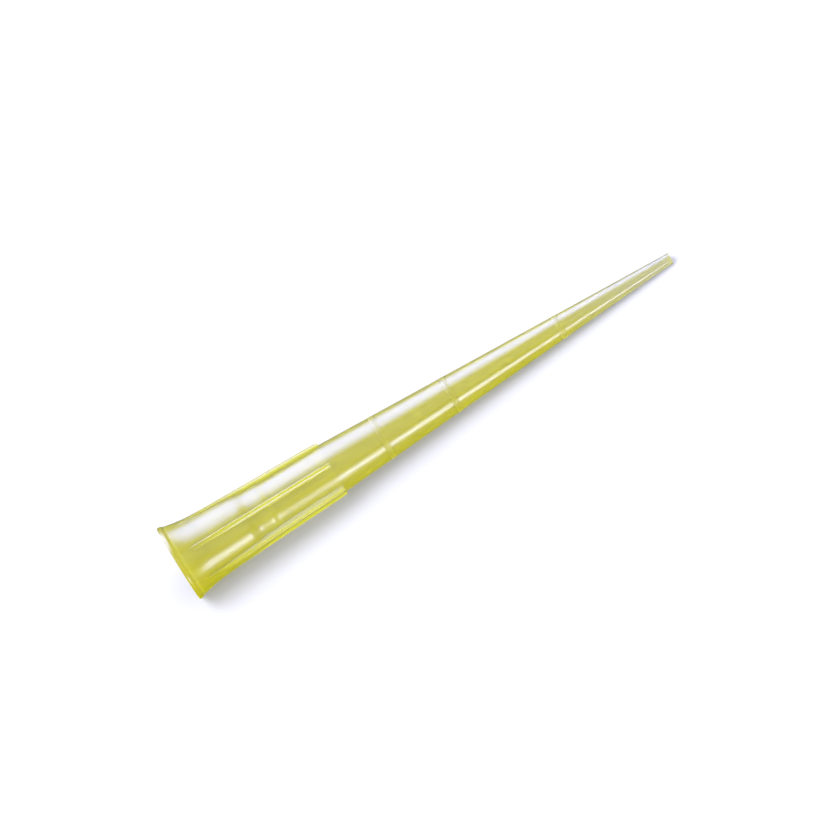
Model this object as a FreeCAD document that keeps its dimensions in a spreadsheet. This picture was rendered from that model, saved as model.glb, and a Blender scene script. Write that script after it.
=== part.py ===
import FreeCAD, Part
import Sketcher
import os

# Pipette tip for small volumes, moulded in one piece: a flared mouth that slips over the pipette's nozzle,
# a collar whose six fins end in a square shoulder, and a slender cone with three fill marks.
# It is drawn upright, mouth down and axis along +Z, and its Placement then lays it on the table.

doc = FreeCAD.newDocument("PipetteTip")

# Driving dimensions in millimetres: radii from the axis, heights from the mouth plane
driving = [
    ("overallLength", 50.0, "mouth plane to the open end of the cone"),
    ("rimFlare", 0.56, "how far the mouth's outer edge stands over the collar, at the widest place"),
    ("rimWall", 0.26, "wall at the mouth"),
    ("lipHeight", 0.5, "height of the lip round the mouth"),
    ("lipDraft", 0.13, "how much narrower the lip is at its back"),
    ("lipStep", 0.05, "small step behind the lip"),
    ("flareHeight", 3.0, "where the flare has run out into the collar"),
    ("leadHeight", 2.8, "height of the curved lead-in that guides the nozzle"),
    ("leadCurve", 14.0, "radius of the lead-in's curve"),
    ("seatBore", 2.35, "radius of the straight seat that grips the nozzle"),
    ("seatStart", 7.05, "where the socket has narrowed to its seat"),
    ("seatLength", 2.1, "length of the straight seat"),
    ("seatLedge", 0.07, "sloped ledge before the seat and after it"),
    ("socketEase", 0.24, "how much wider the socket is at the lead-in than at the seat's ledge"),
    ("socketWall", 0.38, "wall of the collar between the fins, from the lead-in to the seat"),
    ("seatWall", 0.25, "wall round the seat, which gives a little as the nozzle goes in"),
    ("throatWall", 0.22, "wall just past the seat"),
    ("shoulderHeight", 15.65, "square end of the collar and of its fins"),
    ("shoulderEase", 0.28, "how much narrower the bore is at the shoulder than at the seat's ledge"),
    ("collarProud", 0.03, "how far the collar's wall stands over the cone at the shoulder"),
    ("coneWall", 0.33, "wall of the cone from the shoulder to the lower fill mark"),
    ("endBore", 0.25, "bore radius at the open end"),
    ("endWall", 0.22, "wall at the open end"),
    ("endRound", 0.06, "rounding of the open end's outer edge"),
    ("finCount", 6, "fins round the collar"),
    ("finWidth", 0.38, "thickness of a fin"),
    ("finStart", 1.0, "height where a fin begins, inside the wall of the flare"),
    ("finStartProud", 0.19, "crest of a fin over the collar's radius, where the fin begins"),
    ("finEndProud", 0.42, "crest of a fin over the cone at the shoulder"),
    ("finRoot", 1.5, "inner edge that a fin is drawn from, before the bore is cut"),
    ("finRound", 0.06, "rounding along both edges of a crest"),
    ("markProud", 0.06, "how far a fill mark stands over the cone"),
    ("markWidth", 0.48, "length of a fill mark along the axis"),
    ("upperMark", 29.3, "upper fill mark, from the open end"),
    ("middleMark", 22.3, "middle fill mark, from the open end"),
    ("lowerMark", 11.3, "lower fill mark, from the open end"),
]
sheet = doc.addObject("Spreadsheet::Sheet", "Sizes")
for row, (name, value, meaning) in enumerate(driving, start=1):
    sheet.set(f"A{row}", name)
    sheet.set(f"B{row}", str(value))
    sheet.set(f"C{row}", meaning)
    sheet.setAlias(f"B{row}", name)
doc.recompute()


class Size:
    # A size known twice: as a number, to draw with, and as a formula over the sheet, to bind with
    def __init__(self, number, formula):
        self.number = number
        self.formula = formula

    def __add__(self, other):
        return Size(self.number + other.number, f"({self.formula} + {other.formula})")

    def __sub__(self, other):
        return Size(self.number - other.number, f"({self.formula} - {other.formula})")

    def __mul__(self, other):
        return Size(self.number * other.number, f"({self.formula} * {other.formula})")

    def __truediv__(self, other):
        return Size(self.number / other.number, f"({self.formula} / {other.formula})")


def size(name):
    return Size(float(sheet.get(name)), f"Sizes.{name}")


zero = Size(0.0, "0")
half = Size(0.5, "0.5")

tip = doc.addObject("PartDesign::Body", "pipette_tip")
tip.Label = "pipette_tip"


def originFeature(role):
    return next(feature for feature in tip.Origin.OriginFeatures if feature.Role == role)


def newSketch(name, plane, height=None):
    # A sketch on one of the body's own planes, lifted square to it when a height is given
    sketch = tip.newObject("Sketcher::SketchObject", name)
    sketch.AttachmentSupport = [(originFeature(plane), "")]
    sketch.MapMode = "FlatFace"
    if height is not None:
        sketch.setExpression("AttachmentOffset.Base.z", height.formula)
    return sketch


def bind(sketch, distance, kind, *places):
    # One dimension of a sketch, tied to its formula
    index = sketch.addConstraint(Sketcher.Constraint(kind, *places, distance.number))
    sketch.setExpression(f"Constraints[{index}]", distance.formula)


def pinCorner(sketch, side, place, x, y):
    # A corner lies on an axis where its distance is zero, and is measured from the origin otherwise
    for distance, kind, axis in ((x, "DistanceX", -2), (y, "DistanceY", -1)):
        if distance is zero:
            sketch.addConstraint(Sketcher.Constraint("PointOnObject", side, place, axis))
        else:
            bind(sketch, distance, kind, -1, 1, side, place)


def outline(sketch, corners, curves=None):
    # A closed outline through its corners. A side listed in curves is an arc: it bulges to the left of the
    # way along it (+1) or to the right (-1), and has a radius, or runs smoothly into the next side (None).
    curves = curves or {}
    count = len(corners)
    points = [FreeCAD.Vector(x.number, y.number, 0) for x, y in corners]
    starts, ends = [], []
    for side in range(count):
        start, end = points[side], points[(side + 1) % count]
        if side in curves:
            turn, radius = curves[side]
            along = end - start
            flatness = 8 * radius.number / along.Length if radius else 20
            across = FreeCAD.Vector(-along.y, along.x, 0) * (turn / flatness)
            sketch.addGeometry(Part.Arc(start, (start + end) * 0.5 + across, end), False)
        else:
            sketch.addGeometry(Part.LineSegment(start, end), False)
        first = sketch.getPoint(side, 1)
        forward = first.distanceToPoint(start) < first.distanceToPoint(end)
        starts.append(1 if forward else 2)
        ends.append(2 if forward else 1)
    for side in range(count):
        following = (side + 1) % count
        joint = (side, ends[side], following, starts[following])
        smooth = side in curves and curves[side][1] is None
        sketch.addConstraint(Sketcher.Constraint("Tangent" if smooth else "Coincident", *joint))
        pinCorner(sketch, side, starts[side], *corners[side])
        if side in curves and not smooth:
            bind(sketch, curves[side][1], "Radius", side)


def revolve(name, sketch, kind="PartDesign::Revolution"):
    feature = tip.newObject(kind, name)
    feature.Profile = sketch
    feature.ReferenceAxis = (sketch, ["V_Axis"])
    feature.Angle = 360
    return feature


# ---- Sizes that follow from others: the outside stands a wall away from the bore
socketBore = size("seatBore") + size("seatLedge")
leadBore = socketBore + size("socketEase")
throatBore = size("seatBore") - size("seatLedge")
shoulderBore = throatBore - size("shoulderEase")
collarRadius = leadBore + size("socketWall")
socketRadius = socketBore + size("socketWall")
seatRadius = size("seatBore") + size("seatWall")
throatRadius = throatBore + size("throatWall")
coneRadius = shoulderBore + size("coneWall")
endRadius = size("endBore") + size("endWall")
rimRadius = collarRadius + size("rimFlare")
lipBack = rimRadius - size("lipDraft")
seatBegin = size("seatStart") - size("seatLedge")
seatEnd = size("seatStart") + size("seatLength")
coneEnd = size("overallLength") - size("endRound")
coneTaper = (coneRadius - endRadius) / (coneEnd - size("shoulderHeight"))


def coneSurface(fromEnd):
    # Outer radius of the cone at a distance from its open end
    return endRadius + coneTaper * (fromEnd - size("endRound"))


# ---- Outside: lip, flare, collar and cone, turned about the axis
outside = newSketch("Outside", "XZ_Plane")
outline(outside, [
    (zero, zero),
    (rimRadius, zero),
    (lipBack, size("lipHeight")),
    (lipBack - size("lipStep"), size("lipHeight")),
    (collarRadius, size("flareHeight")),
    (socketRadius, seatBegin),
    (seatRadius, seatBegin + socketRadius - seatRadius),
    (seatRadius, seatEnd),
    (throatRadius, seatEnd + seatRadius - throatRadius),
    (coneRadius + size("collarProud"), size("shoulderHeight")),
    (coneRadius, size("shoulderHeight")),
    (endRadius, coneEnd),
    (endRadius - size("endRound"), size("overallLength")),
    (zero, size("overallLength")),
], {3: (1, None), 11: (-1, size("endRound"))})
revolve("OutsideForm", outside)


# ---- Fins: one drawn as a bar between its two ends, then repeated round the axis
def finSection(name, height, crest):
    edge = size("finWidth") * half
    inset = edge - size("finRound")
    shoulder = crest - size("finRound")
    section = newSketch(name, "XY_Plane", height)
    outline(section, [
        (size("finRoot"), zero - edge),
        (shoulder, zero - edge),
        (crest, zero - inset),
        (crest, inset),
        (shoulder, edge),
        (size("finRoot"), edge),
    ], {1: (-1, size("finRound")), 3: (-1, size("finRound"))})
    return section


fin = tip.newObject("PartDesign::AdditiveLoft", "Fin")
finCrest = coneRadius + size("finEndProud")
fin.Profile = finSection("FinBeginning", size("finStart"), collarRadius + size("finStartProud"))
fin.Sections = [finSection("FinShoulder", size("shoulderHeight"), finCrest)]
fin.Ruled = True
fins = tip.newObject("PartDesign::PolarPattern", "Fins")
fins.Originals = [fin]
fins.Axis = (originFeature("Z_Axis"), [""])
fins.Angle = 360
fins.setExpression("Occurrences", "Sizes.finCount")
tip.Tip = fins


# ---- Fill marks: low rings with sloped edges, proud of the cone and parallel to it
for name in ("upperMark", "middleMark", "lowerMark"):
    fromEnd = size(name)
    reach = size("markWidth") * half
    flat = reach - size("markProud")
    sunk = coneSurface(fromEnd) - size("markProud")
    height = size("overallLength") - fromEnd
    mark = newSketch(name[0].upper() + name[1:], "XZ_Plane")
    outline(mark, [
        (sunk, height - reach),
        (coneSurface(fromEnd + reach), height - reach),
        (coneSurface(fromEnd + flat) + size("markProud"), height - flat),
        (coneSurface(fromEnd - flat) + size("markProud"), height + flat),
        (coneSurface(fromEnd - reach), height + reach),
        (sunk, height + reach),
    ])
    revolve(name[0].upper() + name[1:] + "Ring", mark)

# ---- Inside: curved lead-in, socket, straight seat for the nozzle, then the liquid's cone, all cut as one
bore = newSketch("Bore", "XZ_Plane")
outline(bore, [
    (zero, zero),
    (rimRadius - size("rimWall"), zero),
    (leadBore, size("leadHeight")),
    (socketBore, seatBegin),
    (size("seatBore"), size("seatStart")),
    (size("seatBore"), seatEnd),
    (throatBore, seatEnd + size("seatLedge")),
    (shoulderBore, size("shoulderHeight")),
    (coneSurface(size("lowerMark")) - size("coneWall"), size("overallLength") - size("lowerMark")),
    (size("endBore"), size("overallLength")),
    (zero, size("overallLength")),
], {1: (1, size("leadCurve"))})
doc.recompute()
solidVolume = tip.Shape.Volume
revolve("BoreCut", bore, "PartDesign::Groove")

# ---- At rest the tip lies on its rim and its open end, with two fins straddling the table. Fins that reach
# below that line carry it instead of the rim, so the tip dips by the steeper of the two slopes.
straddle = "(180 deg / Sizes.finCount)"
finReach = (
    f"(({finCrest.formula} - Sizes.finRound) * cos{straddle}"
    f" + (Sizes.finWidth / 2 - Sizes.finRound) * sin{straddle} + Sizes.finRound)"
)


def slope(reach, height):
    # Angle of the line from the open end's edge to a place that reaches that far from the axis
    return f"atan(({reach} - {endRadius.formula}) / ({coneEnd.formula} - {height}))"


dip = f"max({slope(rimRadius.formula, '0')}; {slope(finReach, 'Sizes.shoulderHeight')})"
lift = f"{endRadius.formula} * cos({dip}) + {coneEnd.formula} * sin({dip})"
narrowing = endRadius - size("endRound") - rimRadius
middle = f"-(Sizes.overallLength * cos({dip}) + {narrowing.formula} * sin({dip})) / 2"
tip.setExpression("Placement", (
    f"create(<<placement>>; create(<<vector>>; {middle}; 0; {lift});"
    f" create(<<rotation>>; create(<<vector>>; 0; 1; 0); 90 deg + {dip})"
    f" * create(<<rotation>>; create(<<vector>>; 0; 0; 1); {straddle}))"
))
doc.recompute()

# ---- Checks, then one file for the one piece
failed = [item.Label for item in doc.Objects if {"Invalid", "Error"} & set(item.State)]
if failed:
    raise RuntimeError(f"these did not build: {failed}")
if tip.Shape.isNull() or not tip.Shape.isValid() or len(tip.Shape.Solids) != 1:
    raise RuntimeError("the tip is not one valid solid")
if tip.Shape.Volume > 0.7 * solidVolume:
    raise RuntimeError("the bore was not cut")
os.makedirs("parts", exist_ok=True)
tip.Shape.exportStep(f"parts/{tip.Label}.step")
box = tip.Shape.optimalBoundingBox()
print(f"{tip.Label}: {tip.Shape.Volume:.2f} mm3, {box.XLength:.2f} x {box.YLength:.2f} x {box.ZLength:.2f} mm")
print(f"  middle at x {box.Center.x:.4f}, lowest at z {box.ZMin:.4f}")
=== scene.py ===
import math

import bpy
import numpy as np
from mathutils import Matrix, Vector


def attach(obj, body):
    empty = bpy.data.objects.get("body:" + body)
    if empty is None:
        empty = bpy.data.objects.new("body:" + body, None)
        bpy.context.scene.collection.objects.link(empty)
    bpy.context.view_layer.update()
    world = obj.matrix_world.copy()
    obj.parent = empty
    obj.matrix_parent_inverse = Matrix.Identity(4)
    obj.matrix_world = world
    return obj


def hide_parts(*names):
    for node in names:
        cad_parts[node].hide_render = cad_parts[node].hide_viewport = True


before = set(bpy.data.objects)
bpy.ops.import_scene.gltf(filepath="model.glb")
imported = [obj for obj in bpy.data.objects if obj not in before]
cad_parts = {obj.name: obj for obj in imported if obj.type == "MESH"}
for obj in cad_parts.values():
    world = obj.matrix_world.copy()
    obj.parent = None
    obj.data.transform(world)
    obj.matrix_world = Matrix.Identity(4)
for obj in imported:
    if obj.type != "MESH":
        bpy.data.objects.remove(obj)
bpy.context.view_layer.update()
mm = 0.001
print("frame loaded:", sorted(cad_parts))

# The tip's sizes in millimetres. Heights run along its axis from the mouth, radii go out from the axis.
tipSizes = {
    "length": 50.0,
    "rim": 3.6,  # outer edge of the mouth
    "rimWall": 0.26,
    "lipHeight": 0.5,
    "lipDraft": 0.13,  # how much narrower the lip is at its back
    "lipStep": 0.015,
    "lipRound": 0.6,  # radius of the lip's own outward curve
    "lipBackRound": 0.1,
    "flareHeight": 3.0,
    "collar": 3.04,  # outside of the collar where the flare ends
    "socketEnd": (6.75, 2.80),  # the collar's wall eases in where the seat begins inside it
    "seatWall": (7.75, 2.60),
    "seatWallEnd": (9.05, 2.585),
    "throat": (9.6, 2.476),
    "wallEase": 1.8,  # radius of the curves between those places
    "shoulderHeight": 15.65,
    "collarEnd": 2.36,
    "cone": 2.33,  # outside of the cone at the shoulder
    "end": 0.47,
    "endBore": 0.25,
    "endRound": 0.06,
    "leadBore": 2.66,
    "leadHeight": 2.8,
    "leadCurve": 14.0,
    "leadRound": 0.3,
    "seat": 2.35,  # straight seat that grips the nozzle
    "seatStart": 7.05,
    "seatEnd": 9.15,
    "seatLedge": 0.07,
    "ledgeRound": 0.05,
    "shoulderBore": 2.0,
    "coneWall": 0.33,
    "marks": (29.3, 22.3, 11.3),  # fill marks, from the open end
    "markProud": 0.024,
    "markWidth": 0.48,
    "markSpread": 0.7,  # a mark fades out this many widths from its middle
    "edgeRound": 0.035,  # soft edge that moulding leaves on every corner
    "innerRound": 0.02,
    "lipSteps": 9,
    "flareSteps": 26,
    "leadSteps": 20,
    "markSteps": 15,
    "spacing": 0.6,  # neighbouring rows of the mesh are no further apart
    "sharpAngle": 38,  # degrees: an edge that turns more is shaded sharp
}
finSizes = {
    "count": 6,
    "restTurn": 30,  # degrees from straight down to the nearest fin
    "halfWidth": 0.19,
    "draft": 0.22,  # a side's spread for each millimetre of its height
    "start": 1.0,
    "startCrest": 3.23,
    "endCrest": 2.75,
    "crestRound": 0.03,
    "rootRound": 0.04,
    "roundShare": 0.45,  # neither is more than this share of the fin's height
    "leastRise": 0.004,
    "endRound": 0.05,
    "blendHeight": 0.03,  # a fin that stands lower than this sinks into the wall
    "edgeHeights": (3.5, 8.0),  # the painted edge highlight grows in between these
    "finHeights": (2.0, 6.0),  # and the fin's brighter colour between these
    "startShare": 0.1,  # what both begin at
    "fullColour": 0.12,  # how proud of the wall a place is once it has all of the fin's colour
    "edgeColumns": (1, 2),  # the painted edge highlight begins and is full at these points from the crest's middle
    "edgeFade": 1.5,  # and fades over this many points down the side
    "gatherStart": 0.6,  # points stand close under the fins from this height
    "gatherPast": 0.2,  # to this far past the shoulder
    "gatherFade": 2,  # and spread out again over this length
    "outsideMargin": 0.1,  # past the shoulder, rows this far out from its bore are outside
    "shoulderMargin": 0.01,
    "crestSteps": 3,
    "roundSteps": 4,
    "sideSteps": 4,
    "wallSteps": 9,
}


# The wall's profile is a list of (height, radius) points, made with the next four functions.
# A circular arc from a to b: its centre is off the chord's middle by the root of the radius squared less half the
# chord squared, to the left for side 1 and the right for -1, and its points are at even angles
def arcPoints(a, b, radius, side, steps):
    a, b = np.array(a), np.array(b)
    chord = b - a
    length = np.hypot(*chord)
    across = np.array([-chord[1], chord[0]]) / length
    centre = (a + b) / 2 + side * across * math.sqrt(radius ** 2 - length ** 2 / 4)
    first, last = (np.arctan2(*(p - centre)[::-1]) for p in (a, b))
    turn = (last - first + math.pi) % (2 * math.pi) - math.pi
    angles = first + turn * np.linspace(0, 1, steps)
    return centre + radius * np.column_stack([np.cos(angles), np.sin(angles)])


# Each corner with a radius becomes an arc that touches both of its sides, as far from the corner as the radius times
# the tangent of half the turn. A point on it is the start's direction times the sine of the angle left, plus the
# end's times the sine of the angle done, over the sine of the whole
def roundCorners(corners, steps=5):
    out = []
    for (x0, y0, _), (x1, y1, radius), (x2, y2, _) in zip(corners[:-2], corners[1:-1], corners[2:]):
        if not radius:
            out.append([[x1, y1]])
            continue
        corner = np.array([x1, y1])
        back, on = np.array([x0, y0]) - corner, np.array([x2, y2]) - corner
        back, on = back / np.hypot(*back), on / np.hypot(*on)
        half = math.acos(np.clip(back @ on, -1, 1)) / 2
        reach = radius / math.tan(half)
        centre = corner + (back + on) / np.hypot(*(back + on)) * radius / math.sin(half)
        start, end = corner + back * reach - centre, corner + on * reach - centre
        t = np.linspace(0, 1, steps)[:, None]
        spread = math.pi - 2 * half
        out.append(centre + (np.sin((1 - t) * spread) * start + np.sin(t * spread) * end) / math.sin(spread))
    return np.vstack(out)


# Points along a polyline with every corner kept: each side is cut into the fewest equal parts within the spacing
def divide(points, spacing):
    steps = np.ceil(np.hypot(*np.diff(points, axis=0).T) / spacing).astype(int).clip(1)
    knots = np.repeat(np.arange(len(steps)), steps) + np.concatenate([np.arange(n) / n for n in steps])
    knots = np.append(knots, len(steps))
    places = np.arange(len(points))
    return np.column_stack([np.interp(knots, places, points[:, i]) for i in (0, 1)])


# Two parts of the wall once round: outside from the mouth to the shoulder, then down the cone, round the open end
# and back along the bore. The cone's radius falls evenly with height, the flare is the arc that ends along the
# collar's line, and a mark adds its height times half of one plus the cosine of its place
def wallProfile(s):
    soft, small = s["edgeRound"], s["innerRound"]
    lipBack = s["rim"] - s["lipDraft"]
    coneEnd = s["length"] - s["endRound"]
    taper = (s["cone"] - s["end"]) / (coneEnd - s["shoulderHeight"])

    def cone(height):
        return s["end"] + taper * (coneEnd - height)

    # Lip, then a flare that runs smoothly into the collar, and the eased steps round the seat
    foot = np.array([s["flareHeight"], s["collar"]])
    collarSlope = np.array(s["socketEnd"]) - foot
    collarSlope = collarSlope / np.hypot(*collarSlope)
    top = np.array([s["lipHeight"], lipBack - s["lipStep"]])
    normal = np.array([-collarSlope[1], collarSlope[0]])
    chord = top - foot
    flareRadius = (chord @ chord) / (2 * chord @ normal)
    flare = arcPoints(top, foot, flareRadius, 1, s["flareSteps"])
    lip = arcPoints((0, s["rim"] - soft), (s["lipHeight"], lipBack), s["lipRound"], -1, s["lipSteps"])
    front = roundCorners(
        [(0, s["rim"] - s["rimWall"], 0), (*lip[0], soft)] + [(*p, 0) for p in lip[1:-1]]
        + [(*lip[-1], s["lipBackRound"]), (*flare[0], small)] + [(*p, 0) for p in flare[1:]]
        + [(*s[knot], s["wallEase"]) for knot in ("socketEnd", "seatWall", "seatWallEnd", "throat")]
        + [(s["shoulderHeight"], s["collarEnd"], 0)] * 2
    )

    # Cone with its marks, open end, then back along the bore to the mouth
    spread, steps = s["markSpread"], s["markSteps"]
    bulge = s["markProud"] * (1 + np.cos(np.linspace(-math.pi, math.pi, steps))) / 2
    marks = []
    for fromEnd in s["marks"]:
        places = s["length"] - fromEnd + s["markWidth"] * np.linspace(-spread, spread, steps)
        marks += [(*p, 0) for p in zip(places, cone(places) + bulge)]
    lastMark = s["length"] - s["marks"][-1]
    leadStart, leadEnd = (s["leadHeight"], s["leadBore"]), (0, s["rim"] - s["rimWall"])
    lead = arcPoints(leadStart, leadEnd, s["leadCurve"], -1, s["leadSteps"])
    ledge, ledgeRound = s["seatLedge"], s["ledgeRound"]
    rear = roundCorners(
        [(s["shoulderHeight"], s["collarEnd"], 0), (s["shoulderHeight"], s["cone"], 0)] + marks
        + [(s["length"], cone(s["length"]), s["endRound"]), (s["length"], s["endBore"], small),
           (lastMark, cone(lastMark) - s["coneWall"], 0), (s["shoulderHeight"], s["shoulderBore"], 0),
           (s["seatEnd"] + ledge, s["seat"] - ledge, ledgeRound), (s["seatEnd"], s["seat"], ledgeRound),
           (s["seatStart"], s["seat"], ledgeRound), (s["seatStart"] - ledge, s["seat"] + ledge, ledgeRound),
           (*lead[0], s["leadRound"])]
        + [(*p, 0) for p in lead[1:-1]] + [(*lead[-1], soft), (0, s["rim"], 0)]
    )
    return divide(front, s["spacing"]), divide(rear, s["spacing"])


# Sections across the axis, one row for each point of the profile. Half a fin runs from the middle of its crest, whose
# radius falls evenly with height, round a quarter circle, down a side that spreads by its draft, through a root
# fillet that touches side and wall, and along the wall's circle to midway between two fins. It is mirrored, then
# turned to each fin's place. onCollar is true for the rows that may carry fins
def ringSections(height, radius, onCollar, s, f):
    sector = math.pi / f["count"]
    run = (height - f["start"]) / (s["shoulderHeight"] - f["start"])
    crest = f["startCrest"] + (f["endCrest"] - f["startCrest"]) * run
    past = ((height - s["shoulderHeight"]) / f["endRound"] + 1).clip(0, 1)
    inset = f["endRound"] * (1 - np.sqrt(1 - past ** 2))
    crest, halfWidth = crest - inset, f["halfWidth"] - inset
    rise = (crest - np.sqrt((radius ** 2 - halfWidth ** 2).clip(0))).clip(f["leastRise"])
    corner = np.minimum(f["crestRound"], f["roundShare"] * rise)
    fillet = np.minimum(f["rootRound"], f["roundShare"] * rise)
    crestWidth, rootWidth = halfWidth - f["draft"] * rise / 2, halfWidth + f["draft"] * rise / 2
    tiny = 1e-6  # keeps the root real
    foot = np.sqrt(((radius + fillet) ** 2 - (rootWidth + fillet) ** 2).clip(tiny))
    footAngle = np.arctan2(rootWidth + fillet, foot)

    crestT = np.arange(f["crestSteps"]) / f["crestSteps"]
    roundT = np.arange(f["roundSteps"]) / f["roundSteps"]
    sideT = np.arange(f["sideSteps"]) / f["sideSteps"]
    wallT = np.arange(f["wallSteps"] + 1) / f["wallSteps"]
    crest, crestWidth, rootWidth, corner, fillet, foot, footAngle, radius = (
        a[:, None] for a in (crest, crestWidth, rootWidth, corner, fillet, foot, footAngle, radius))
    turn = roundT * math.pi / 2
    curl = -math.pi / 2 - roundT * (math.pi / 2 - footAngle)
    wallAngle = footAngle + (sector - footAngle) * wallT
    x = np.hstack([crest + 0 * crestT, crest - corner + corner * np.cos(turn),
                   crest - corner + (foot - crest + corner) * sideT,
                   foot + fillet * np.cos(curl), radius * np.cos(wallAngle)])
    y = np.hstack([(crestWidth - corner) * crestT, crestWidth - corner + corner * np.sin(turn),
                   crestWidth + (rootWidth - crestWidth) * sideT, rootWidth + fillet + fillet * np.sin(curl),
                   radius * np.sin(wallAngle)])

    # The same count of points on the wall's own circle, gathered under the fins near them and even elsewhere
    finPoints = x.shape[1] - len(wallT)
    gathered = np.hstack([footAngle * np.arange(finPoints) / finPoints, wallAngle])
    even = sector * np.arange(x.shape[1]) / (x.shape[1] - 1)
    away = np.maximum(f["gatherStart"] - height, height - s["shoulderHeight"] - f["gatherPast"])
    share = (1 - away / f["gatherFade"]).clip(0, 1)[:, None]
    outside = radius > s["shoulderBore"] + f["outsideMargin"]
    pastShoulder = height[:, None] > s["shoulderHeight"] - f["shoulderMargin"]
    share = np.where(onCollar[:, None] | outside & pastShoulder, share, 0)
    circle = even + (gathered - even) * share
    risen = np.where(onCollar, ((crest - radius)[:, 0] / f["blendHeight"]).clip(0, 1), 0)[:, None]
    x = radius * np.cos(circle) + (x - radius * np.cos(circle)) * risen
    y = radius * np.sin(circle) + (y - radius * np.sin(circle)) * risen

    # The crest's corner and the top of the side carry the pale edge, a painted highlight, on one side of each fin
    # only
    sideStart = f["crestSteps"] + f["roundSteps"]
    edgePlaces = [*f["edgeColumns"], sideStart, sideStart + f["edgeFade"]]
    edge = np.interp(np.arange(x.shape[1]), edgePlaces, [0, 1, 1, 0])
    edge = np.tile(np.hstack([edge[:0:-1], 0 * edge[:-1]]), f["count"]) * risen

    # Mirror the half about the fin, then turn it to each fin's place
    x = np.hstack([x[:, :0:-1], x[:, :-1]])
    y = np.hstack([-y[:, :0:-1], y[:, :-1]])
    proud = np.tile((np.hypot(x, y) - radius) * risen, f["count"])
    angles = math.radians(180 - f["restTurn"]) + 2 * sector * np.arange(f["count"])[:, None]
    c, d = np.cos(angles), np.sin(angles)
    up = (x[:, None] * c - y[:, None] * d).reshape(len(x), -1)
    side = (x[:, None] * d + y[:, None] * c).reshape(len(x), -1)
    edge = edge * np.interp(height, f["edgeHeights"], [f["startShare"], 1])[:, None]
    proud = proud * np.interp(height, f["finHeights"], [f["startShare"], 1])[:, None]
    finShare = (proud / f["fullColour"]).clip(0, 1)
    return up, side, finShare, edge * finShare


# The tip lies on its rim and its open end, and dips towards +X by the angle whose tangent is the fall in radius
# over the length between them. mouth is the middle of the mouth's plane
dip = math.atan((tipSizes["rim"] - tipSizes["end"]) / (tipSizes["length"] - tipSizes["endRound"]))
along = Vector((math.cos(dip), 0, -math.sin(dip)))
upward = Vector((math.sin(dip), 0, math.cos(dip)))
sideways = Vector((0, 1, 0))
narrowing = tipSizes["end"] - tipSizes["endRound"] - tipSizes["rim"]
mouth = Vector((
    -(tipSizes["length"] * math.cos(dip) + narrowing * math.sin(dip)) / 2, 0,
    tipSizes["end"] * math.cos(dip) + (tipSizes["length"] - tipSizes["endRound"]) * math.sin(dip),
))


# A closed mesh from rows and columns of points: each point, the one below it, the next below and the next beside it
# make a quad, and the last row and column join the first
def closedGrid(name, points, sharpAngle):
    rows, columns = points.shape[:2]
    index = np.arange(rows * columns).reshape(rows, columns)
    nextRow, nextColumn = np.roll(index, -1, 0), np.roll(index, -1, 1)
    faces = np.stack([index, nextRow, np.roll(nextRow, -1, 1), nextColumn], -1).reshape(-1, 4)
    mesh = bpy.data.meshes.new(name)
    mesh.vertices.add(rows * columns)
    mesh.vertices.foreach_set("co", (points * mm).astype(np.float32).ravel())
    mesh.loops.add(faces.size)
    mesh.loops.foreach_set("vertex_index", faces.ravel().astype(np.int32))
    mesh.polygons.add(len(faces))
    mesh.polygons.foreach_set("loop_start", np.arange(0, faces.size, 4, dtype=np.int32))
    mesh.polygons.foreach_set("loop_total", np.full(len(faces), 4, np.int32))
    mesh.update(calc_edges=True)
    mesh.validate()
    mesh.shade_smooth()
    mesh.set_sharp_from_angle(angle=math.radians(sharpAngle))
    piece = bpy.data.objects.new(name, mesh)
    bpy.context.scene.collection.objects.link(piece)
    return piece


front, rear = wallProfile(tipSizes)
profile = np.vstack([front, rear])
onCollar = np.arange(len(profile)) < len(front)
print("wall profile:", len(profile), "points")
up, side, finShare, paintedFinHighlight = ringSections(profile[:, 0], profile[:, 1], onCollar, tipSizes, finSizes)
points = (np.array(mouth) + profile[:, 0, None, None] * np.array(along)
          + up[..., None] * np.array(upward) + side[..., None] * np.array(sideways))
tip = closedGrid("tip", points, tipSizes["sharpAngle"])
for name, values in (("finShare", finShare), ("paintedFinHighlight", paintedFinHighlight)):
    attribute = tip.data.attributes.new(name, "FLOAT", "POINT")
    attribute.data.foreach_set("value", values.astype(np.float32).ravel())
print("tip shell:", points.shape, len(tip.data.polygons), "faces")
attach(tip, "root")
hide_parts("pipette_tip")

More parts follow.
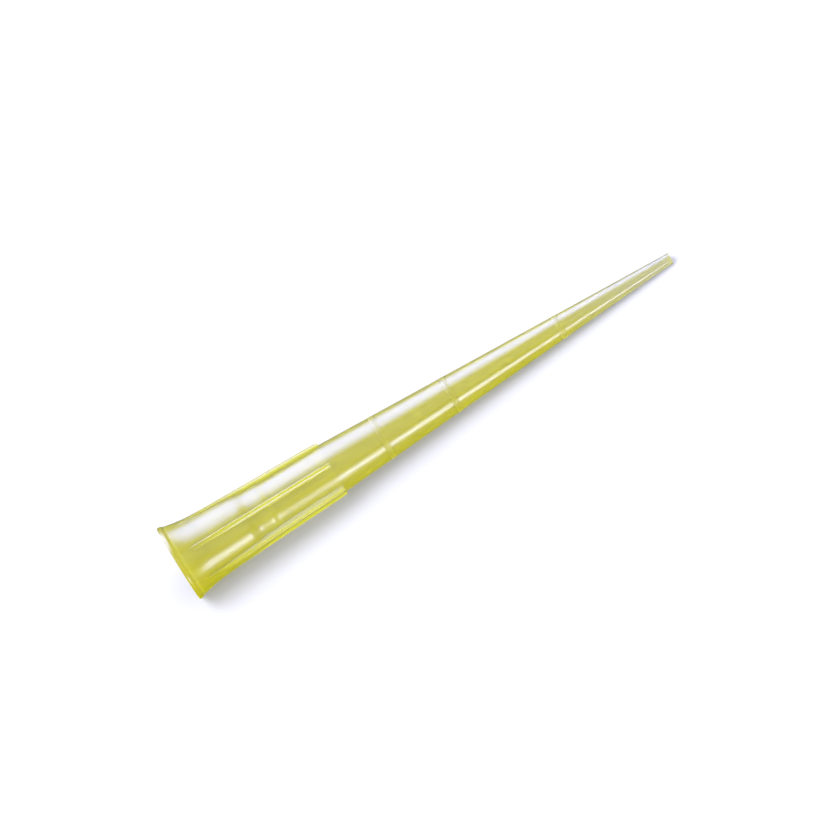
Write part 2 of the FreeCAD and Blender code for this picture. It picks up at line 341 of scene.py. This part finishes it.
# Clear yellow plastic that light goes into. Heights are in millimetres from the mouth, and a look comes in from a
# pair's first height to its second
plasticLook = {
    "shader": {
        "Transmission Weight": 0.5,
        "IOR": 1.49,
        "Subsurface Weight": 1.0,
        "Subsurface Radius": (1, 1, 0.4),
        "Subsurface Scale": 0.001,
        "Coat Roughness": 0.45,
    },
    "absorption": {"Color": (0.97, 0.97, 0.2, 1), "Density": 900.0},
    "colour": (0.64, 0.62, 0.066, 1),
    "deep": (0.56, 0.54, 0.036, 1),  # thicker plastic at the mouth, the darker flow lines, and the painted shade of the rings
    "collar": (0.68, 0.66, 0.07, 1),  # the collar's walls past the nozzle seat
    "pale": (0.60, 0.60, 0.32, 1),  # thin wall towards the open end
    # fins: thicker plastic, and painted light where light gathers in them
    "fin": (0.70, 0.70, 0.075, 1),
    "paintedFinHighlight": (0.97, 0.95, 0.6, 1),  # light gathers in the fins and leaves at their edges
    "lip": (0.54, 0.51, 0.03, 1),
    "paintedLipHighlight": (0.64, 0.62, 0.06, 1),  # painted highlight: a bright line behind the lip
    "deepHeights": (5.5, 1.5),
    "collarHeights": ((7.4, 9.0), (15.7, 15.55)),
    "paleHeights": (36.0, 49.0),
    "lipHeights": (0.62, 0.38),
    "paintedLipHighlightHeights": ((0.42, 0.55), (0.8, 0.65)),
    "streakHeights": (48, 16),  # where flow lines can be felt
    "rings": (2.8, 7.25),  # painted shade: darker rings where the corners of the bore would show through
    "ringReach": (0.38, 0.0),  # how far from its middle a ring begins and is full
    "ringShare": 0.25,
    "markReach": (0.33, 0.2),
    "mattMark": 0.2,  # added roughness of the fill marks
    "roughness": 0.15,
    "unevenRoughness": 0.12,
    "coatLoss": {"ring": 0.05, "fin": 0.95, "pale": 0.45},
    "grain": 9.0,  # per millimetre
    "clouds": 0.45,
    "flowLines": 7.0,
    "flowStretch": 0.09,
    "flowNoise": {"Scale": 1.0, "Detail": 3.0, "Roughness": 0.6},
    "softDetail": 2.0,  # of the grain and the clouds
    "flowWeight": 0.5,
    "cloudWeight": 0.5,
    "flowLevels": (0.42, 0.72),  # the darker lines come in between these levels
    "flowShare": 0.6,
    "grainRelief": 0.25,
    "streakRelief": 0.3,
    "bumpHeight": 0.000003,
}
plastic = bpy.data.materials.new("tipPlastic")
plastic.use_nodes = True
nodes, links = plastic.node_tree.nodes, plastic.node_tree.links
shader, output = nodes["Principled BSDF"], nodes["Material Output"]
for socket, value in plasticLook["shader"].items():
    shader.inputs[socket].default_value = value


# Makes a node, links each value that is another node's output, sets the rest, and gives back one output
def addNode(kind, values, output=0, tree=plastic.node_tree, **settings):
    node = tree.nodes.new(kind)
    for name, value in settings.items():
        setattr(node, name, value)
    for place, value in values.items():
        if isinstance(value, bpy.types.NodeSocket):
            tree.links.new(value, node.inputs[place])
        else:
            node.inputs[place].default_value = value
    return node.outputs[output]


# The first value with the second, by the named operation
def calculate(operation, *values, tree=plastic.node_tree):
    return addNode("ShaderNodeMath", dict(enumerate(values)), tree=tree, operation=operation)


# 0 up to start and 1 past end, with three t squared less two t cubed between them. Start may be the higher one
def fade(value, start, end, tree=plastic.node_tree):
    return addNode("ShaderNodeMapRange", {"Value": value, "From Min": start, "From Max": end},
                   tree=tree, interpolation_type="SMOOTHSTEP")


# Two fades of one value, multiplied
def band(value, rise, fall):
    return calculate("MULTIPLY", fade(value, *rise), fade(value, *fall))


# The first colour times one less the share, plus the second times the share
def blend(share, first, second):
    return addNode("ShaderNodeMix", {0: share, 6: first, 7: second}, output=2, data_type="RGBA")


# The greatest of the fades of the distances from some heights
def nearAny(middles, reach):
    near = 0.0
    for middle in middles:
        away = calculate("ABSOLUTE", calculate("SUBTRACT", height, middle))
        near = calculate("MAXIMUM", near, fade(away, *reach))
    return near


links.new(addNode("ShaderNodeVolumeAbsorption", plasticLook["absorption"]), output.inputs["Volume"])

# The tip's own coordinates in millimetres: height from the mouth, and the two directions across the axis
fromMouth = addNode("ShaderNodeVectorMath", {0: nodes.new("ShaderNodeTexCoord").outputs["Object"], 1: mouth * mm},
                    operation="SUBTRACT")
height, upPart, sidePart = (
    addNode("ShaderNodeVectorMath", {0: fromMouth, 1: direction / mm}, output=1, operation="DOT_PRODUCT")
    for direction in (along, upward, sideways))

# Flow lines: noise on the direction round the axis, drawn out along it
around = addNode("ShaderNodeCombineXYZ", {0: upPart, 1: sidePart})
around = addNode("ShaderNodeVectorMath", {0: around}, operation="NORMALIZE")
around = addNode("ShaderNodeVectorMath", {0: around, "Scale": plasticLook["flowLines"]}, operation="SCALE")
drawn = addNode("ShaderNodeCombineXYZ", {2: calculate("MULTIPLY", height, plasticLook["flowStretch"])})
flow = addNode("ShaderNodeTexNoise", {
    "Vector": addNode("ShaderNodeVectorMath", {0: around, 1: drawn}, operation="ADD"),
    **plasticLook["flowNoise"]})
position = addNode("ShaderNodeCombineXYZ", {0: upPart, 1: sidePart, 2: height})
clouds, grain = (
    addNode("ShaderNodeTexNoise", {
        "Vector": position, "Scale": plasticLook[scale], "Detail": plasticLook["softDetail"]})
    for scale in ("clouds", "grain"))

# Colour: one over another, each by its share. The rings are painted shade, the lip's line and the fins' edges are
# painted highlights, and the fins' brightness is partly painted light
marked = nearAny([tipSizes["length"] - fromEnd for fromEnd in tipSizes["marks"]], plasticLook["markReach"])
ringShade = nearAny(plasticLook["rings"], plasticLook["ringReach"])
unevenness = calculate("ADD", calculate("MULTIPLY", flow, plasticLook["flowWeight"]),
                       calculate("MULTIPLY", clouds, plasticLook["cloudWeight"]))
darkLines = calculate("MULTIPLY", fade(unevenness, *plasticLook["flowLevels"]), plasticLook["flowShare"])
deepShare = calculate("MAXIMUM", fade(height, *plasticLook["deepHeights"]), darkLines)
paleShare = fade(height, *plasticLook["paleHeights"])
collarShare = band(height, *plasticLook["collarHeights"])
paintedLipHighlight = band(height, *plasticLook["paintedLipHighlightHeights"])
onFin, onPaintedHighlight = (
    addNode("ShaderNodeAttribute", {}, output=2, attribute_name=name) for name in ("finShare", "paintedFinHighlight"))
colour = blend(collarShare, plasticLook["colour"], plasticLook["collar"])
colour = blend(deepShare, colour, plasticLook["deep"])
colour = blend(paleShare, colour, plasticLook["pale"])
# painted shade of the rings
colour = blend(calculate("MULTIPLY", ringShade, plasticLook["ringShare"]), colour, plasticLook["deep"])
colour = blend(fade(height, *plasticLook["lipHeights"]), colour, plasticLook["lip"])
colour = blend(paintedLipHighlight, colour, plasticLook["paintedLipHighlight"])
# the fins' brighter colour is partly painted light
colour = blend(onFin, colour, plasticLook["fin"])
links.new(blend(onPaintedHighlight, colour, plasticLook["paintedFinHighlight"]), shader.inputs["Base Color"])

# Finish: grain about its middle level makes the shine uneven, marks are a little matt, and the rings, the fins and
# the thin end lose some coat
grainMiddle = 0.5
uneven = calculate("MULTIPLY", calculate("SUBTRACT", grain, grainMiddle), plasticLook["unevenRoughness"])
matt = calculate("MULTIPLY", marked, plasticLook["mattMark"])
roughness = calculate("ADD", calculate("ADD", uneven, plasticLook["roughness"]), matt)
links.new(roughness, shader.inputs["Roughness"])
coat = 1.0
for share, part in ((ringShade, "ring"), (onFin, "fin"), (paleShare, "pale")):
    coat = calculate("SUBTRACT", coat, calculate("MULTIPLY", share, plasticLook["coatLoss"][part]))
links.new(coat, shader.inputs["Coat Weight"])
streakShare = calculate("MULTIPLY", fade(height, *plasticLook["streakHeights"]), plasticLook["streakRelief"])
streaks = calculate("MULTIPLY", flow, streakShare)
relief = calculate("ADD", calculate("MULTIPLY", grain, plasticLook["grainRelief"]), streaks)
bump = addNode("ShaderNodeBump", {"Height": relief, "Distance": plasticLook["bumpHeight"]})
links.new(bump, shader.inputs["Normal"])
links.new(bump, shader.inputs["Coat Normal"])
tip.data.materials.append(plastic)
print("plastic mixed")

# The table: plain pale paper
paperLook = {
    "Base Color": (0.526, 0.54, 0.54, 1),
    "Roughness": 0.9,
    "Specular IOR Level": 0.1,
    "Emission Color": (0.019, 0.019, 0.055, 1),  # a little light in the shade, as a white table gives
    "Emission Strength": 1.0,
}
halfFloor = 3
floorMesh = bpy.data.meshes.new("floor")
floorCorners = [(x * halfFloor, y * halfFloor, 0) for x, y in ((-1, -1), (1, -1), (1, 1), (-1, 1))]
floorMesh.from_pydata(floorCorners, [], [(0, 1, 2, 3)])
floor = bpy.data.objects.new("floor", floorMesh)
bpy.context.scene.collection.objects.link(floor)
paper = bpy.data.materials.new("paper")
paper.use_nodes = True
for socket, value in paperLook.items():
    paper.node_tree.nodes["Principled BSDF"].inputs[socket].default_value = value
floorMesh.materials.append(paper)
floor.visible_glossy = False
floor.visible_shadow = False
floor.visible_diffuse = False
print("floor laid")

# Soft boxes: angle is from straight up towards the far side, and tilt from across the tip towards its open end, in
# degrees. Distance and size are in metres, and edges are the share of the size over which the light fades in
mirroredLights = {
    "shine": {"angle": 39, "tilt": -16, "distance": 0.8, "size": (1.22, 1.7),
              "edges": (0.12, 0.45), "power": 86.0, "colour": (0.37, 0.40, 0.96)},
    "glint": {"angle": -94, "tilt": 6, "distance": 0.5, "size": (0.18, 0.36),
              "edges": (0.5, 0.5), "power": 3.6, "colour": (0.71, 0.71, 1)},
    "frontCard": {"angle": -38, "tilt": 0, "distance": 1.2, "size": (2.0, 1.4),
                  "edges": (0.2, 0.3), "power": 9.0, "colour": (0.3, 0.4, 1)},
    "endCard": {"angle": 0, "tilt": 85, "distance": 0.8, "size": (0.9, 0.9),
                "edges": (0.2, 0.2), "power": 4.0, "colour": (1, 1, 0.8)},
    "farCard": {"angle": 115, "tilt": 0, "distance": 0.6, "size": (2.0, 1.4),
                "edges": (0.1, 0.1), "power": 1.6, "colour": (0.9, 1, 0.6)},
    "nearCard": {"angle": 173, "tilt": 0, "distance": 0.6, "size": (2.0, 1.0),
                 "edges": (0.1, 0.1), "power": 2.4, "colour": (0.98, 1, 0.03)},
}
floorLight = {"angle": 5, "tilt": -28, "distance": 1.0, "size": (0.8, 0.95),
              "edges": (0.3, 0.3), "power": 12.5, "colour": (1, 0.98, 1)}
room = {"fill": 1.84, "fillColour": (0.89, 0.87, 1.0, 1)}
middle = (mouth + along * tipSizes["length"] / 2) * mm


# An area lamp that faces the tip's middle. Its direction is the outward one times the cosine of tilt, plus the tip's
# own times the sine, and outward is up times the cosine of angle plus sideways times the sine. Its light is one
# fade across it times another along it. A mirrored lamp is only seen as a reflection, and any other only lights
def softbox(name, angle, tilt, distance, size, edges, power, colour, mirrored):
    angle, tilt = math.radians(angle), math.radians(tilt)
    outward = upward * math.cos(angle) + sideways * math.sin(angle)
    toLight = outward * math.cos(tilt) + along * math.sin(tilt)
    length = along * math.cos(tilt) - outward * math.sin(tilt)
    data = bpy.data.lights.new(name, "AREA")
    data.shape = "RECTANGLE"
    data.size, data.size_y = size
    data.energy = power
    data.color = colour
    data.use_nodes = True
    tree = data.node_tree
    spot = tree.nodes.new("ShaderNodeSeparateXYZ")
    tree.links.new(addNode("ShaderNodeNewGeometry", {}, output="Parametric", tree=tree), spot.inputs[0])
    halfWay = 0.5  # across the lamp, counted from either edge
    fromEdge = (calculate("PINGPONG", spot.outputs[axis], halfWay, tree=tree) for axis in "XY")
    levels = [fade(away, 0.0, soft, tree=tree) for away, soft in zip(fromEdge, edges)]
    tree.links.new(calculate("MULTIPLY", *levels, tree=tree), tree.nodes["Emission"].inputs["Strength"])
    lamp = bpy.data.objects.new(name, data)
    lamp.location = middle + toLight * distance
    lamp.rotation_euler = Matrix((length, toLight.cross(length), toLight)).transposed().to_euler()
    lamp.visible_camera = False
    lamp.visible_glossy = mirrored
    lamp.visible_diffuse = not mirrored
    lamp.visible_transmission = not mirrored
    bpy.context.scene.collection.objects.link(lamp)
    return lamp


for name, look in mirroredLights.items():
    softbox(name, **look, mirrored=True)
floorLamp = softbox("floorLight", **floorLight, mirrored=False)
floorOnly = bpy.data.collections.new("floorOnly")
floorOnly.objects.link(floor)
floorLamp.light_linking.receiver_collection = floorOnly

world = bpy.data.worlds.new("world")
bpy.context.scene.world = world
world.use_nodes = True
world.node_tree.nodes["Background"].inputs["Color"].default_value = room["fillColour"]
world.node_tree.nodes["Background"].inputs["Strength"].default_value = room["fill"]
world.cycles_visibility.glossy = False
print("lights hung:", len(mirroredLights) + 1)

# The camera looks square at the tip's axis. lean is how far it is from straight above, towards the near side, and
# roll turns the picture, in degrees. fieldWidth, right and above are in millimetres at the tip's middle
view = {
    "lens": 420,
    "fieldWidth": 71.4,
    "lean": 38.2,
    "roll": 31.89,
    "right": 0.899,
    "above": 0.272,
    "clipEnd": 20,
}
lean, roll = math.radians(view["lean"]), math.radians(view["roll"])
toCamera = upward * math.cos(lean) - sideways * math.sin(lean)
acrossTip = toCamera.cross(along)
right = along * math.cos(roll) - acrossTip * math.sin(roll)
top = along * math.sin(roll) + acrossTip * math.cos(roll)
camData = bpy.data.cameras.new("camera")
camData.lens = view["lens"]
camData.clip_end = view["clipEnd"]
camera = bpy.data.objects.new("camera", camData)
bpy.context.scene.collection.objects.link(camera)
target = middle - (right * view["right"] + top * view["above"]) * mm
distance = view["fieldWidth"] * mm * view["lens"] / camData.sensor_width
camera.location = target + toCamera * distance
camera.rotation_euler = Matrix((right, top, toCamera)).transposed().to_euler()
bpy.context.scene.camera = camera
bpy.context.scene.view_settings.view_transform = "Standard"
print("camera set")
